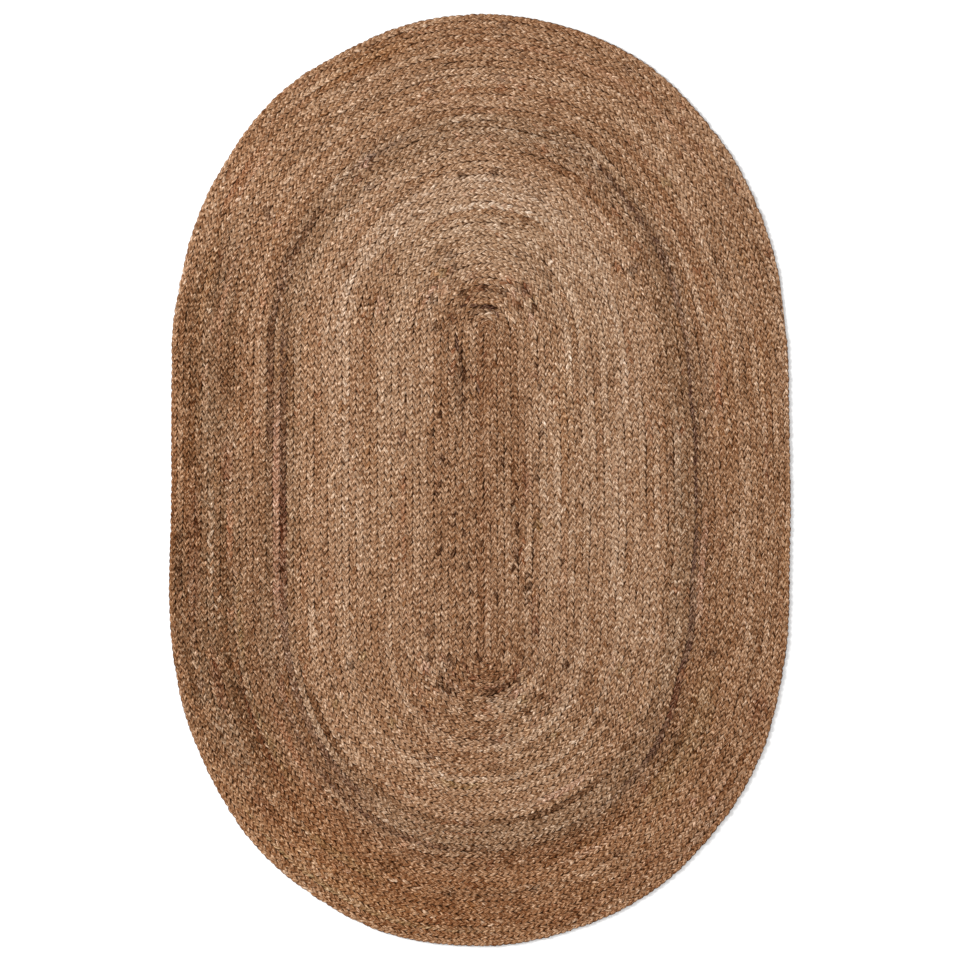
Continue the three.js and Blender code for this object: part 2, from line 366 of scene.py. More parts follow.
PATCHES = (
    Patch(0.690, 0.880, 0.065, 0.110, Tone.UMBER, 0.32),
    Patch(0.805, 0.880, 0.050, 0.090, Tone.UMBER, 0.26),
    Patch(0.690, 0.840, 0.070, 0.160, Tone.BARK, 0.45),
    Patch(0.805, 0.870, 0.050, 0.110, Tone.BARK, 0.35),
    Patch(0.270, 0.664, 0.140, 0.007, Tone.PLUM, 0.70),
    Patch(0.345, 0.672, 0.050, 0.007, Tone.PLUM, 0.65),
    Patch(0.590, 0.674, 0.080, 0.007, Tone.PLUM, 0.55),
    Patch(0.690, 0.633, 0.090, 0.007, Tone.PLUM, 0.45),
    Patch(0.810, 0.672, 0.060, 0.007, Tone.PLUM, 0.40),
    Patch(0.100, 0.644, 0.050, 0.011, Tone.PLUM, 0.50),
    Patch(0.152, 0.660, 0.030, 0.011, Tone.PLUM, 0.55),
    Patch(0.930, 0.664, 0.032, 0.010, Tone.PLUM, 0.50),
    Patch(0.860, 0.656, 0.034, 0.010, Tone.PLUM, 0.50),
    Patch(0.450, 0.045, 0.060, 0.035, Tone.RUSSET, 0.85),
    Patch(0.435, 0.165, 0.060, 0.035, Tone.SAND, 0.80),
    Patch(0.310, 0.050, 0.060, 0.050, Tone.FAWN, 0.40),
    Patch(0.690, 0.060, 0.060, 0.050, Tone.FAWN, 0.40),
    Patch(0.700, 0.740, 0.050, 0.030, Tone.RUSSET, 0.45),
    Patch(0.940, 0.860, 0.050, 0.120, Tone.SAND, 0.35),
    Patch(0.815, 0.400, 0.055, 0.090, Tone.TAN, 0.40),
    Patch(0.435, 0.330, 0.050, 0.190, Tone.SAND, 0.65),
    Patch(0.875, 0.250, 0.100, 0.060, Tone.STRAW, 0.30),
    Patch(0.690, 0.550, 0.050, 0.050, Tone.TAN, 0.50),
    Patch(0.640, 0.650, 0.080, 0.030, Tone.RUSSET, 0.40),
    Patch(0.940, 0.600, 0.050, 0.070, Tone.SAND, 0.35),
    Patch(0.365, 0.765, 0.036, 0.045, Tone.OLIVE, 0.30),
    Patch(0.085, 0.585, 0.070, 0.034, Tone.RUSSET, 0.35),
    Patch(0.560, 0.910, 0.040, 0.028, Tone.AMBER, 0.35),
    Patch(0.720, 0.920, 0.030, 0.020, Tone.MAHOGANY, 0.40),
    Patch(0.950, 0.945, 0.022, 0.024, Tone.AMBER, 0.35),
    Patch(0.162, 0.825, 0.014, 0.012, Tone.UMBER, 0.60),
    Patch(0.162, 0.880, 0.020, 0.006, Tone.UMBER, 0.45),
    Patch(0.035, 0.880, 0.040, 0.007, Tone.RUSSET, 0.50),
    Patch(0.060, 0.905, 0.060, 0.012, Tone.CLAY, 0.35),
    Patch(0.060, 0.735, 0.040, 0.012, Tone.SAND, 0.40),
    Patch(0.155, 0.960, 0.016, 0.008, Tone.UMBER, 0.50),
    Patch(0.212, 0.755, 0.014, 0.014, Tone.RUST, 0.50),
    Patch(0.210, 0.715, 0.014, 0.008, Tone.TAUPE, 0.50),
    Patch(0.192, 0.780, 0.028, 0.007, Tone.AMBER, 0.35),
    Patch(0.205, 0.910, 0.016, 0.007, Tone.AMBER, 0.35),
    Patch(0.200, 0.845, 0.022, 0.006, Tone.UMBER, 0.45),
    Patch(0.242, 0.910, 0.009, 0.008, Tone.MAHOGANY, 0.65),
    Patch(0.310, 0.750, 0.012, 0.008, Tone.UMBER, 0.50),
    Patch(0.365, 0.730, 0.022, 0.024, Tone.UMBER, 0.40),
    Patch(0.320, 0.780, 0.070, 0.030, Tone.SAND, 0.30),
    Patch(0.445, 0.735, 0.016, 0.007, Tone.UMBER, 0.45),
    Patch(0.440, 0.765, 0.020, 0.008, Tone.CLAY, 0.40),
    Patch(0.490, 0.830, 0.036, 0.008, Tone.UMBER, 0.55),
    Patch(0.442, 0.865, 0.012, 0.006, Tone.UMBER, 0.60),
    Patch(0.425, 0.910, 0.014, 0.008, Tone.MAHOGANY, 0.55),
    Patch(0.320, 0.905, 0.018, 0.006, Tone.UMBER, 0.35),
    Patch(0.365, 0.845, 0.018, 0.008, Tone.UMBER, 0.55),
    Patch(0.315, 0.885, 0.026, 0.007, Tone.SAND, 0.40),
    Patch(0.285, 0.930, 0.034, 0.008, Tone.SAND, 0.35),
    Patch(0.285, 0.957, 0.024, 0.007, Tone.UMBER, 0.35),
    Patch(0.285, 0.980, 0.016, 0.008, Tone.AMBER, 0.40),
    Patch(0.342, 0.950, 0.008, 0.028, Tone.MAHOGANY, 0.40),
    Patch(0.430, 0.938, 0.030, 0.006, Tone.CLAY, 0.45),
    Patch(0.450, 0.975, 0.020, 0.010, Tone.STRAW, 0.30),
    Patch(0.395, 0.970, 0.024, 0.008, Tone.TAUPE, 0.40),
    Patch(0.280, 0.845, 0.018, 0.008, Tone.RUSSET, 0.50),
    Patch(0.547, 0.790, 0.006, 0.020, Tone.UMBER, 0.55),
    Patch(0.630, 0.715, 0.028, 0.013, Tone.RUST, 0.40),
    Patch(0.635, 0.770, 0.024, 0.008, Tone.OLIVE, 0.40),
    Patch(0.695, 0.770, 0.016, 0.008, Tone.OLIVE, 0.35),
    Patch(0.645, 0.795, 0.034, 0.006, Tone.MAHOGANY, 0.55),
    Patch(0.732, 0.800, 0.014, 0.008, Tone.RUST, 0.55),
    Patch(0.715, 0.820, 0.014, 0.007, Tone.UMBER, 0.45),
    Patch(0.670, 0.870, 0.014, 0.015, Tone.MAHOGANY, 0.60),
    Patch(0.610, 0.900, 0.009, 0.020, Tone.MAHOGANY, 0.40),
    Patch(0.570, 0.840, 0.020, 0.016, Tone.OLIVE, 0.40),
    Patch(0.715, 0.972, 0.016, 0.014, Tone.WALNUT, 0.50),
    Patch(0.560, 0.950, 0.056, 0.007, Tone.OLIVE, 0.40),
    Patch(0.758, 0.810, 0.008, 0.020, Tone.MAHOGANY, 0.55),
    Patch(0.790, 0.760, 0.010, 0.008, Tone.UMBER, 0.45),
    Patch(0.792, 0.815, 0.010, 0.016, Tone.UMBER, 0.40),
    Patch(0.822, 0.840, 0.022, 0.008, Tone.CLAY, 0.45),
    Patch(0.812, 0.860, 0.018, 0.007, Tone.UMBER, 0.40),
    Patch(0.880, 0.903, 0.020, 0.006, Tone.CLAY, 0.45),
    Patch(0.875, 0.930, 0.016, 0.012, Tone.RUST, 0.40),
    Patch(0.765, 0.930, 0.010, 0.028, Tone.UMBER, 0.30),
    Patch(0.830, 0.910, 0.028, 0.012, Tone.AMBER, 0.35),
    Patch(0.940, 0.822, 0.040, 0.006, Tone.UMBER, 0.50),
    Patch(0.125, 0.420, 0.045, 0.007, Tone.SAND, 0.40),
    Patch(0.145, 0.600, 0.007, 0.020, Tone.UMBER, 0.45),
    Patch(0.170, 0.615, 0.012, 0.008, Tone.UMBER, 0.45),
    Patch(0.202, 0.570, 0.010, 0.008, Tone.UMBER, 0.45),
    Patch(0.095, 0.540, 0.016, 0.008, Tone.CLAY, 0.40),
    Patch(0.320, 0.435, 0.025, 0.008, Tone.SAND, 0.30),
    Patch(0.330, 0.485, 0.014, 0.008, Tone.SAND, 0.35),
    Patch(0.295, 0.540, 0.018, 0.008, Tone.SAND, 0.35),
    Patch(0.280, 0.690, 0.022, 0.009, Tone.ROSE, 0.35),
    Patch(0.450, 0.583, 0.034, 0.006, Tone.WALNUT, 0.45),
    Patch(0.490, 0.560, 0.014, 0.006, Tone.UMBER, 0.45),
    Patch(0.440, 0.540, 0.020, 0.009, Tone.ROSE, 0.40),
    Patch(0.345, 0.670, 0.018, 0.008, Tone.MAHOGANY, 0.45),
    Patch(0.445, 0.680, 0.016, 0.007, Tone.UMBER, 0.40),
    Patch(0.520, 0.450, 0.022, 0.009, Tone.OLIVE, 0.45),
    Patch(0.602, 0.490, 0.018, 0.006, Tone.SAND, 0.45),
    Patch(0.650, 0.475, 0.020, 0.006, Tone.SAND, 0.45),
    Patch(0.707, 0.480, 0.012, 0.008, Tone.CLAY, 0.40),
    Patch(0.530, 0.580, 0.012, 0.007, Tone.UMBER, 0.45),
    Patch(0.585, 0.590, 0.026, 0.007, Tone.UMBER, 0.45),
    Patch(0.640, 0.585, 0.022, 0.008, Tone.UMBER, 0.50),
    Patch(0.510, 0.620, 0.012, 0.007, Tone.RUST, 0.45),
    Patch(0.725, 0.630, 0.024, 0.008, Tone.MAHOGANY, 0.60),
    Patch(0.662, 0.670, 0.012, 0.007, Tone.MAHOGANY, 0.40),
    Patch(0.560, 0.655, 0.040, 0.008, Tone.STRAW, 0.30),
    Patch(0.755, 0.485, 0.010, 0.008, Tone.STRAW, 0.40),
    Patch(0.850, 0.450, 0.024, 0.010, Tone.CREAM, 0.20),
    Patch(0.930, 0.425, 0.050, 0.005, Tone.UMBER, 0.30),
    Patch(0.775, 0.628, 0.024, 0.008, Tone.UMBER, 0.40),
    Patch(0.850, 0.670, 0.014, 0.007, Tone.UMBER, 0.40),
    Patch(0.108, 0.132, 0.018, 0.009, Tone.MAHOGANY, 0.40),
    Patch(0.145, 0.145, 0.014, 0.007, Tone.SAND, 0.40),
    Patch(0.045, 0.267, 0.014, 0.006, Tone.UMBER, 0.30),
    Patch(0.165, 0.310, 0.022, 0.018, Tone.CREAM, 0.20),
    Patch(0.168, 0.268, 0.014, 0.009, Tone.TAUPE, 0.40),
    Patch(0.225, 0.255, 0.022, 0.030, Tone.AMBER, 0.25),
    Patch(0.210, 0.310, 0.014, 0.008, Tone.HAZEL, 0.45),
    Patch(0.205, 0.355, 0.008, 0.026, Tone.HAZEL, 0.45),
    Patch(0.232, 0.330, 0.018, 0.014, Tone.STRAW, 0.35),
    Patch(0.225, 0.125, 0.024, 0.020, Tone.RUSSET, 0.40),
    Patch(0.248, 0.130, 0.008, 0.014, Tone.MAHOGANY, 0.45),
    Patch(0.295, 0.160, 0.008, 0.014, Tone.MAHOGANY, 0.45),
    Patch(0.410, 0.148, 0.014, 0.006, Tone.MAHOGANY, 0.40),
    Patch(0.445, 0.118, 0.026, 0.009, Tone.MAHOGANY, 0.35),
    Patch(0.490, 0.116, 0.014, 0.009, Tone.WALNUT, 0.40),
    Patch(0.478, 0.155, 0.022, 0.010, Tone.TAUPE, 0.45),
    Patch(0.318, 0.295, 0.016, 0.008, Tone.UMBER, 0.35),
    Patch(0.430, 0.290, 0.014, 0.008, Tone.MAHOGANY, 0.40),
    Patch(0.340, 0.332, 0.065, 0.009, Tone.STRAW, 0.45),
    Patch(0.285, 0.250, 0.016, 0.014, Tone.RUST, 0.25),
    Patch(0.535, 0.113, 0.024, 0.009, Tone.MAHOGANY, 0.65),
    Patch(0.530, 0.113, 0.016, 0.006, Tone.WALNUT, 0.40),
    Patch(0.580, 0.122, 0.014, 0.009, Tone.MAHOGANY, 0.50),
    Patch(0.635, 0.120, 0.022, 0.008, Tone.MAHOGANY, 0.50),
    Patch(0.605, 0.150, 0.016, 0.008, Tone.MAHOGANY, 0.55),
    Patch(0.560, 0.160, 0.014, 0.010, Tone.RUSSET, 0.40),
    Patch(0.614, 0.187, 0.010, 0.010, Tone.EARTH, 0.80),
    Patch(0.585, 0.182, 0.012, 0.009, Tone.MAHOGANY, 0.35),
    Patch(0.655, 0.146, 0.014, 0.006, Tone.CREAM, 0.30),
    Patch(0.682, 0.190, 0.012, 0.007, Tone.STRAW, 0.45),
    Patch(0.555, 0.290, 0.014, 0.010, Tone.UMBER, 0.30),
    Patch(0.700, 0.253, 0.045, 0.008, Tone.RUSSET, 0.45),
    Patch(0.740, 0.255, 0.016, 0.010, Tone.RUST, 0.35),
    Patch(0.630, 0.265, 0.022, 0.009, Tone.SAND, 0.45),
    Patch(0.690, 0.313, 0.016, 0.008, Tone.RUSSET, 0.35),
    Patch(0.938, 0.105, 0.020, 0.008, Tone.MAHOGANY, 0.80),
    Patch(0.875, 0.140, 0.027, 0.006, Tone.EARTH, 0.50),
    Patch(0.955, 0.140, 0.020, 0.007, Tone.UMBER, 0.30),
    Patch(0.785, 0.172, 0.022, 0.014, Tone.OCHRE, 0.30),
    Patch(0.845, 0.190, 0.014, 0.010, Tone.TAUPE, 0.45),
    Patch(0.890, 0.212, 0.036, 0.008, Tone.ROSE, 0.45),
    Patch(0.947, 0.262, 0.010, 0.009, Tone.TAUPE, 0.45),
    Patch(0.795, 0.272, 0.012, 0.010, Tone.RUSSET, 0.55),
    Patch(0.865, 0.285, 0.016, 0.010, Tone.STRAW, 0.45),
    Patch(0.800, 0.310, 0.020, 0.009, Tone.STRAW, 0.45),
    Patch(0.838, 0.342, 0.012, 0.014, Tone.ROSE, 0.35),
    Patch(0.843, 0.362, 0.010, 0.010, Tone.RUSSET, 0.45),
    Patch(0.585, 0.075, 0.085, 0.006, Tone.MAHOGANY, 0.45),
    Patch(0.790, 0.075, 0.012, 0.016, Tone.WALNUT, 0.50),
)


@dataclass(frozen=True)
class Mottle:
    """Single lobes of one other tone, at places given by share and reach."""

    tone: Tone
    strength: float
    places: tuple[tuple[float, float], ...]
    radius: float = 0.0085

    def inside(self, off: np.ndarray) -> np.ndarray:
        """How far places off the mottle's middle lie inside it, from 0 to 1."""
        return smooth_step(FADE_OUT - off / self.radius)


MOTTLES = (
    Mottle(
        Tone.UMBER,
        0.60,
        (
            (0.004, 0.840), (0.065, 0.795), (0.085, 0.810), (0.105, 0.800), (0.140, 0.770), (0.210, 0.790),
            (0.487, 0.730), (0.310, 0.835), (0.396, 0.840), (0.355, 0.905), (0.360, 0.830), (0.565, 0.735),
            (0.600, 0.735), (0.520, 0.725), (0.505, 0.730), (0.650, 0.835), (0.595, 0.845), (0.605, 0.880),
            (0.565, 0.905), (0.640, 0.945), (0.670, 0.965), (0.840, 0.780), (0.860, 0.925), (0.912, 0.795),
            (0.945, 0.890), (0.955, 0.930), (0.985, 0.850), (0.955, 0.970), (0.905, 0.985), (0.400, 0.948),
            (0.460, 0.950), (0.200, 0.960), (0.725, 0.775), (0.050, 0.455), (0.037, 0.480), (0.170, 0.550),
            (0.160, 0.565), (0.040, 0.585), (0.068, 0.605), (0.210, 0.405), (0.255, 0.405), (0.310, 0.405),
            (0.362, 0.440), (0.375, 0.460), (0.380, 0.450), (0.315, 0.515), (0.385, 0.510), (0.385, 0.570),
            (0.410, 0.640), (0.270, 0.625), (0.320, 0.620), (0.563, 0.440), (0.620, 0.565), (0.670, 0.645),
            (0.840, 0.500), (0.860, 0.490), (0.830, 0.555), (0.830, 0.590), (0.905, 0.583), (0.937, 0.425),
            (0.944, 0.505), (0.038, 0.136), (0.122, 0.142), (0.136, 0.128), (0.087, 0.254), (0.057, 0.260),
            (0.121, 0.261), (0.103, 0.275), (0.045, 0.375), (0.025, 0.335), (0.318, 0.122), (0.322, 0.140),
            (0.355, 0.158), (0.337, 0.170), (0.450, 0.173), (0.398, 0.205), (0.371, 0.210), (0.331, 0.216),
            (0.377, 0.248), (0.395, 0.240), (0.423, 0.238), (0.456, 0.241), (0.493, 0.256), (0.366, 0.272),
            (0.389, 0.262), (0.403, 0.271), (0.463, 0.300), (0.424, 0.348), (0.446, 0.350), (0.341, 0.356),
            (0.488, 0.388), (0.537, 0.163), (0.633, 0.212), (0.645, 0.155), (0.570, 0.220), (0.530, 0.210),
            (0.530, 0.295), (0.530, 0.308), (0.514, 0.268), (0.585, 0.285), (0.572, 0.303), (0.615, 0.288),
            (0.650, 0.252), (0.597, 0.333), (0.735, 0.138), (0.868, 0.113), (0.825, 0.104), (0.828, 0.148),
            (0.932, 0.181), (0.901, 0.224), (0.920, 0.263), (0.850, 0.325), (0.878, 0.335), (0.851, 0.340),
            (0.837, 0.382),
        ),
    ),
    Mottle(
        Tone.WALNUT,
        0.65,
        (
            (0.127, 0.955), (0.317, 0.755), (0.365, 0.715), (0.370, 0.735), (0.432, 0.825), (0.475, 0.832),
            (0.515, 0.828), (0.672, 0.868), (0.665, 0.796), (0.715, 0.972), (0.728, 0.965), (0.790, 0.835),
            (0.870, 0.800), (0.010, 0.495), (0.147, 0.540), (0.675, 0.435), (0.985, 0.490), (0.718, 0.630),
            (0.007, 0.130), (0.060, 0.132), (0.092, 0.188), (0.143, 0.175), (0.287, 0.133), (0.391, 0.139),
            (0.430, 0.122), (0.455, 0.108), (0.485, 0.118), (0.331, 0.273), (0.487, 0.298), (0.667, 0.115),
            (0.590, 0.158), (0.623, 0.163), (0.600, 0.178), (0.680, 0.180), (0.907, 0.105), (0.932, 0.137),
            (0.812, 0.158), (0.871, 0.190), (0.475, 0.133), (0.944, 0.220),
        ),
    ),
    Mottle(
        Tone.PLUM,
        0.50,
        (
            (0.010, 0.965), (0.063, 0.955), (0.010, 0.795), (0.145, 0.560), (0.240, 0.580), (0.510, 0.585),
            (0.670, 0.925), (0.867, 0.775), (0.975, 0.785), (0.917, 0.585), (0.770, 0.666), (0.925, 0.645),
            (0.930, 0.665), (0.557, 0.391), (0.103, 0.187), (0.273, 0.102), (0.595, 0.108), (0.303, 0.165),
            (0.762, 0.140), (0.697, 0.180),
        ),
    ),
    Mottle(
        Tone.MAHOGANY,
        0.55,
        (
            (0.038, 0.760), (0.095, 0.945), (0.108, 0.940), (0.160, 0.985), (0.275, 0.750), (0.400, 0.725),
            (0.495, 0.730), (0.842, 0.885), (0.875, 0.975), (0.078, 0.590), (0.230, 0.620), (0.915, 0.628),
            (0.110, 0.180), (0.097, 0.200), (0.207, 0.165), (0.360, 0.116), (0.385, 0.118), (0.430, 0.160),
            (0.383, 0.282), (0.478, 0.292), (0.592, 0.266), (0.651, 0.200), (0.682, 0.137), (0.848, 0.113),
            (0.987, 0.133), (0.975, 0.172), (0.770, 0.258), (0.875, 0.385), (0.890, 0.385), (0.795, 0.104),
        ),
    ),
    Mottle(
        Tone.RUST,
        0.50,
        (
            (0.010, 0.770), (0.020, 0.778), (0.160, 0.750), (0.090, 0.975), (0.130, 0.970), (0.700, 0.795),
            (0.770, 0.710), (0.823, 0.710), (0.970, 0.765), (0.990, 0.770), (0.140, 0.500), (0.005, 0.605),
            (0.040, 0.600), (0.105, 0.595), (0.132, 0.585), (0.290, 0.610), (0.330, 0.680), (0.545, 0.695),
            (0.985, 0.620), (0.785, 0.520), (0.053, 0.165), (0.058, 0.177), (0.495, 0.175), (0.505, 0.190),
            (0.610, 0.200), (0.623, 0.247), (0.903, 0.185), (0.935, 0.224), (0.752, 0.255),
        ),
    ),
    Mottle(
        Tone.AMBER,
        0.50,
        (
            (0.230, 0.740), (0.160, 0.900), (0.505, 0.870), (0.530, 0.850), (0.230, 0.445), (0.165, 0.530),
            (0.780, 0.450), (0.600, 0.245), (0.655, 0.245), (0.440, 0.295), (0.380, 0.178), (0.855, 0.228),
            (0.912, 0.238),
        ),
    ),
    Mottle(
        Tone.OLIVE,
        0.50,
        (
            (0.110, 0.785), (0.330, 0.465), (0.365, 0.540), (0.645, 0.515), (0.417, 0.195), (0.417, 0.363),
            (0.263, 0.170), (0.127, 0.187), (0.608, 0.385), (0.683, 0.388), (0.922, 0.228),
        ),
    ),
    Mottle(
        Tone.ROSE,
        0.45,
        (
            (0.390, 0.880), (0.385, 0.930), (0.865, 0.745), (0.710, 0.650), (0.745, 0.650), (0.925, 0.656),
            (0.415, 0.165), (0.663, 0.197), (0.165, 0.157), (0.085, 0.147),
        ),
    ),
    Mottle(
        Tone.CREAM,
        0.35,
        (
            (0.018, 0.755), (0.230, 0.540), (0.070, 0.145), (0.042, 0.176), (0.127, 0.172), (0.145, 0.112),
            (0.375, 0.195), (0.652, 0.172), (0.560, 0.203), (0.508, 0.213), (0.825, 0.280), (0.030, 0.050),
            (0.075, 0.090), (0.148, 0.090), (0.320, 0.065),
        ),
    ),
)


@dataclass(frozen=True)
class Specks:
    """Single lobes of other yarn, each the nearest to a place.

    Places are pixels of the frame seen from above, rightward and down from its corner.
    """

    tone: Tone
    strength: float
    places: tuple[tuple[int, int], ...]


SPECKS = (
    Specks(Tone.PLUM, 0.80, ((466, 307), (474, 306), (482, 306), (490, 308), (497, 314), (456, 338))),
    Specks(Tone.PLUM, 0.85, ((458, 344),)),
    Specks(Tone.WALNUT, 0.85, ((460, 351),)),
    Specks(Tone.WALNUT, 0.90, ((461, 358),)),
    Specks(Tone.WALNUT, 0.95, ((463, 364), (464, 371))),
    Specks(Tone.WALNUT, 0.85, ((466, 378),)),
    Specks(Tone.WALNUT, 0.95, ((465, 401),)),
    Specks(Tone.RUST, 0.70, ((454, 353), (456, 364))),
    Specks(Tone.MAHOGANY, 0.60, ((471, 376), (477, 382))),
    Specks(Tone.PLUM, 0.80, ((480, 390),)),
    Specks(Tone.AMBER, 0.70, ((471, 399),)),
    Specks(
        Tone.WALNUT,
        0.85,
        (
            (487, 288), (551, 287), (533, 308), (535, 367), (540, 385), (541, 433), (542, 445),
            (544, 467), (540, 477), (514, 471), (515, 487), (502, 462), (440, 483), (437, 495),
            (441, 458), (452, 465), (433, 432), (440, 417), (440, 549), (454, 526), (455, 515),
            (453, 552), (466, 533), (467, 512), (474, 515), (471, 592), (466, 566), (467, 625),
            (482, 540), (501, 508), (497, 594), (514, 500), (514, 509), (515, 525), (517, 532),
            (517, 555), (513, 567), (527, 575), (529, 587), (527, 602), (563, 558), (565, 665),
            (479, 654), (437, 686), (448, 660),
        ),
    ),
    Specks(
        Tone.MAHOGANY,
        0.60,
        ((526, 486), (485, 490), (526, 287), (469, 299), (514, 332), (486, 357)),
    ),
    Specks(Tone.MAHOGANY, 0.45, ((529, 605), (534, 618), (538, 631))),
    Specks(Tone.AMBER, 0.50, ((450, 602), (453, 615))),
    Specks(Tone.CLAY, 0.50, ((482, 522),)),
    Specks(Tone.MAHOGANY, 0.60, ((474, 680), (487, 686), (500, 693))),
    Specks(
        Tone.CREAM,
        0.40,
        (
            (505, 312), (511, 320), (512, 330), (547, 404), (548, 416), (546, 427),
            (514, 507), (455, 520), (512, 575),
        ),
    ),
    Specks(Tone.STRAW, 0.60, ((545, 484), (546, 497), (545, 510), (545, 524))),
    Specks(Tone.WALNUT, 0.95, ((616, 853),)),
)


@dataclass(frozen=True)
class Wave:
    """Slow random change along a length, held above a lowest share of its spread."""

    spread: float
    spacing: float
    lowest: float = -math.inf

    def along(self, rng: np.random.Generator, places: np.ndarray) -> np.ndarray:
        """The change at distances along the length."""
        knots = int(places.max() / self.spacing) + 3
        values = np.interp(places / self.spacing, np.arange(knots), rng.normal(size=knots))
        return self.spread * np.maximum(values, self.lowest)


@dataclass(frozen=True)
class StrandRow:
    """One place on a strand's way across the plait, over half a period.

    phase is in degrees. across is from the plait's middle in half widths,
    height from the plait's mid height in rises, and size in shares of the
    strand's own section. lean lifts the strand's outer side, in radians.
    """

    phase: float
    across: float
    height: float
    size: float
    lean: float


STRAND_ROWS = (
    StrandRow(phase=-14, across=-0.08, height=-0.10, size=0.82, lean=0.0),
    StrandRow(phase=22, across=0.25, height=0.75, size=1.00, lean=0.15),
    StrandRow(phase=58, across=0.52, height=0.90, size=1.02, lean=0.30),
    StrandRow(phase=94, across=0.80, height=0.50, size=0.94, lean=0.30),
    StrandRow(phase=130, across=0.66, height=-0.80, size=0.76, lean=0.20),
)

STRAND_SECTION = ((0.36, 0.5), (-0.36, 0.5), (-0.5, -0.3), (0.5, -0.3))


@dataclass(frozen=True)
class Unevenness:
    """How much the hand plaiting varies, as spreads of a normal law.

    across is in half widths, size and the pitches are shares, phase and lean
    are in radians, and the limits say how many spreads are let through.
    """

    long_pitch: Wave = Wave(0.05, 0.35)
    short_pitch: Wave = Wave(0.10, 0.03)
    wander: Wave = Wave(0.07, 0.06)
    phase: float = math.radians(9.0)
    phase_limit: float = 1.5
    across: float = 0.12
    size: float = 0.11
    size_limit: float = 2.0
    height: float = 0.0003
    lean: float = 0.08


@dataclass(frozen=True)
class BraidShape:
    """Sizes of the plait and of its strands.

    edge_across holds the strands in on the outermost round, which is any
    within edge_slack rounds of the edge. narrowest and widest bound how far
    a strand's section follows the width of its round. shoulder_painted_shade paints
    shade on the low sides of the strands, where they meet.
    """

    period: float = 0.0390
    lead: float = 0.009
    middle: float = 0.0040
    rise: float = 0.0018
    strand_width: float = 0.0076
    strand_thickness: float = 0.0040
    edge_across: float = 0.58
    edge_slack: float = 0.02
    narrowest: float = 0.12
    widest: float = 1.1
    floor_gap: float = 0.0007
    top_room: float = 0.0002
    shoulder_painted_shade: float = 1.8
    rows: tuple[StrandRow, ...] = STRAND_ROWS
    section: tuple[tuple[float, float], ...] = STRAND_SECTION
    uneven: Unevenness = Unevenness()

    @property
    def half_height(self) -> float:
        """Half the height of the strand's section."""
        return self.strand_thickness * max(y for _, y in self.section)


@dataclass
class StrandRings:
    """The rings of one strand, from the coil's start to its tail."""

    place: np.ndarray
    size: np.ndarray
    lean: np.ndarray
    run: np.ndarray
    turn: np.ndarray
    reach: np.ndarray
    lift: np.ndarray
    lobe: np.ndarray

    def part(self, first: int, last: int) -> "StrandRings":
        """The rings from first up to last."""
        return StrandRings(**{key: value[first:last] for key, value in vars(self).items()})

    def by_lobe(self, values: np.ndarray) -> np.ndarray:
        """Means of the rings' values over each lobe, ring by ring."""
        return (np.bincount(self.lobe, values) / np.maximum(np.bincount(self.lobe), 1))[self.lobe]


